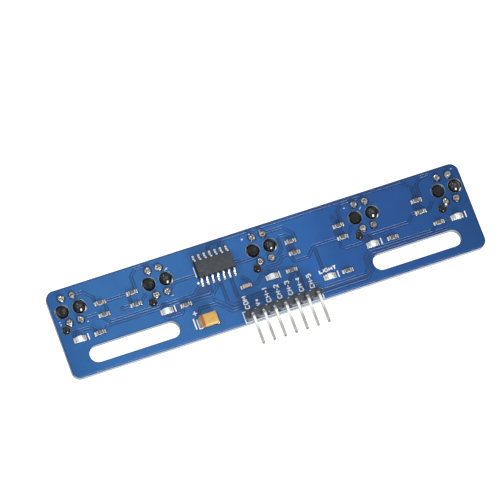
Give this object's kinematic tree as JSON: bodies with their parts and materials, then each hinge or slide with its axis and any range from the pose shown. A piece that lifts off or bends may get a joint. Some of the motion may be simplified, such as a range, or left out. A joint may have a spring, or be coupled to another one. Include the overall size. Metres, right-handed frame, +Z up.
{
  "type": "line follower sensor board",
  "caption": "Slim blue circuit board with a row of downward-facing reflective sensors, status lights, a right-angle pin header and two long mounting slots.",
  "frame": {"origin": "midway between the two mounting slots, in the board's component-side face", "axes": "+X along the board, +Z up out of the component side so that the sensor windows face -Z, +Y from the pin header's edge towards the sensors' edge"},
  "size_m": [0.0966, 0.0266, 0.0129],
  "materials": {
    "board_laminate": "glossy blue solder mask over a glass-fibre laminate",
    "sensor_plastic": "moulded black, slightly glossy",
    "emitter_epoxy": "clear blue-tinted epoxy",
    "detector_epoxy": "daylight-blocking black epoxy",
    "tinned_leads": "bright tin plate",
    "solder": "solidified solder with a soft shine",
    "resistor_film": "black overglaze",
    "tinned_terminals": "tin plate",
    "light_lens": "clear moulded resin",
    "light_base": "white laminate",
    "capacitor_ceramic": "tan fired ceramic",
    "capacitor_resin": "yellow-gold moulded resin",
    "chip_epoxy": "fine-grained dark epoxy",
    "header_plastic": "moulded black",
    "header_pins": "tinned square wire"
  },
  "bodies": {
    "root": {"ceramic_capacitor_body": "capacitor_ceramic", "ceramic_capacitor_terminals": "tinned_terminals", "circuit_board": "board_laminate", "header_housing": "header_plastic", "header_pins": "header_pins", "header_solder_joints": "solder", "led_1_lens": "light_lens", "led_2_lens": "light_lens", "led_3_lens": "light_lens", "led_4_lens": "light_lens", "led_5_lens": "light_lens", "led_bases": "light_base", "led_terminals": "tinned_terminals", "logic_ic_body": "chip_epoxy", "logic_ic_leads": "tinned_leads", "power_led_lens": "light_lens", "resistor_01": "resistor_film", "resistor_02": "resistor_film", "resistor_03": "resistor_film", "resistor_04": "resistor_film", "resistor_05": "resistor_film", "resistor_06": "resistor_film", "resistor_07": "resistor_film", "resistor_08": "resistor_film", "resistor_09": "resistor_film", "resistor_10": "resistor_film", "resistor_11": "resistor_film", "resistor_12": "resistor_film", "resistor_13": "resistor_film", "resistor_14": "resistor_film", "resistor_15": "resistor_film", "resistor_16": "resistor_film", "resistor_terminals": "tinned_terminals", "sensor_1_detector": "detector_epoxy", "sensor_1_emitter": "emitter_epoxy", "sensor_1_housing": "sensor_plastic", "sensor_1_leads": "tinned_leads", "sensor_2_detector": "detector_epoxy", "sensor_2_emitter": "emitter_epoxy", "sensor_2_housing": "sensor_plastic", "sensor_2_leads": "tinned_leads", "sensor_3_detector": "detector_epoxy", "sensor_3_emitter": "emitter_epoxy", "sensor_3_housing": "sensor_plastic", "sensor_3_leads": "tinned_leads", "sensor_4_detector": "detector_epoxy", "sensor_4_emitter": "emitter_epoxy", "sensor_4_housing": "sensor_plastic", "sensor_4_leads": "tinned_leads", "sensor_5_detector": "detector_epoxy", "sensor_5_emitter": "emitter_epoxy", "sensor_5_housing": "sensor_plastic", "sensor_5_leads": "tinned_leads", "sensor_solder_joints": "solder", "smd_solder_fillets": "solder", "tantalum_capacitor_body": "capacitor_resin", "tantalum_capacitor_terminals": "tinned_terminals"}
  },
  "joints": []
}
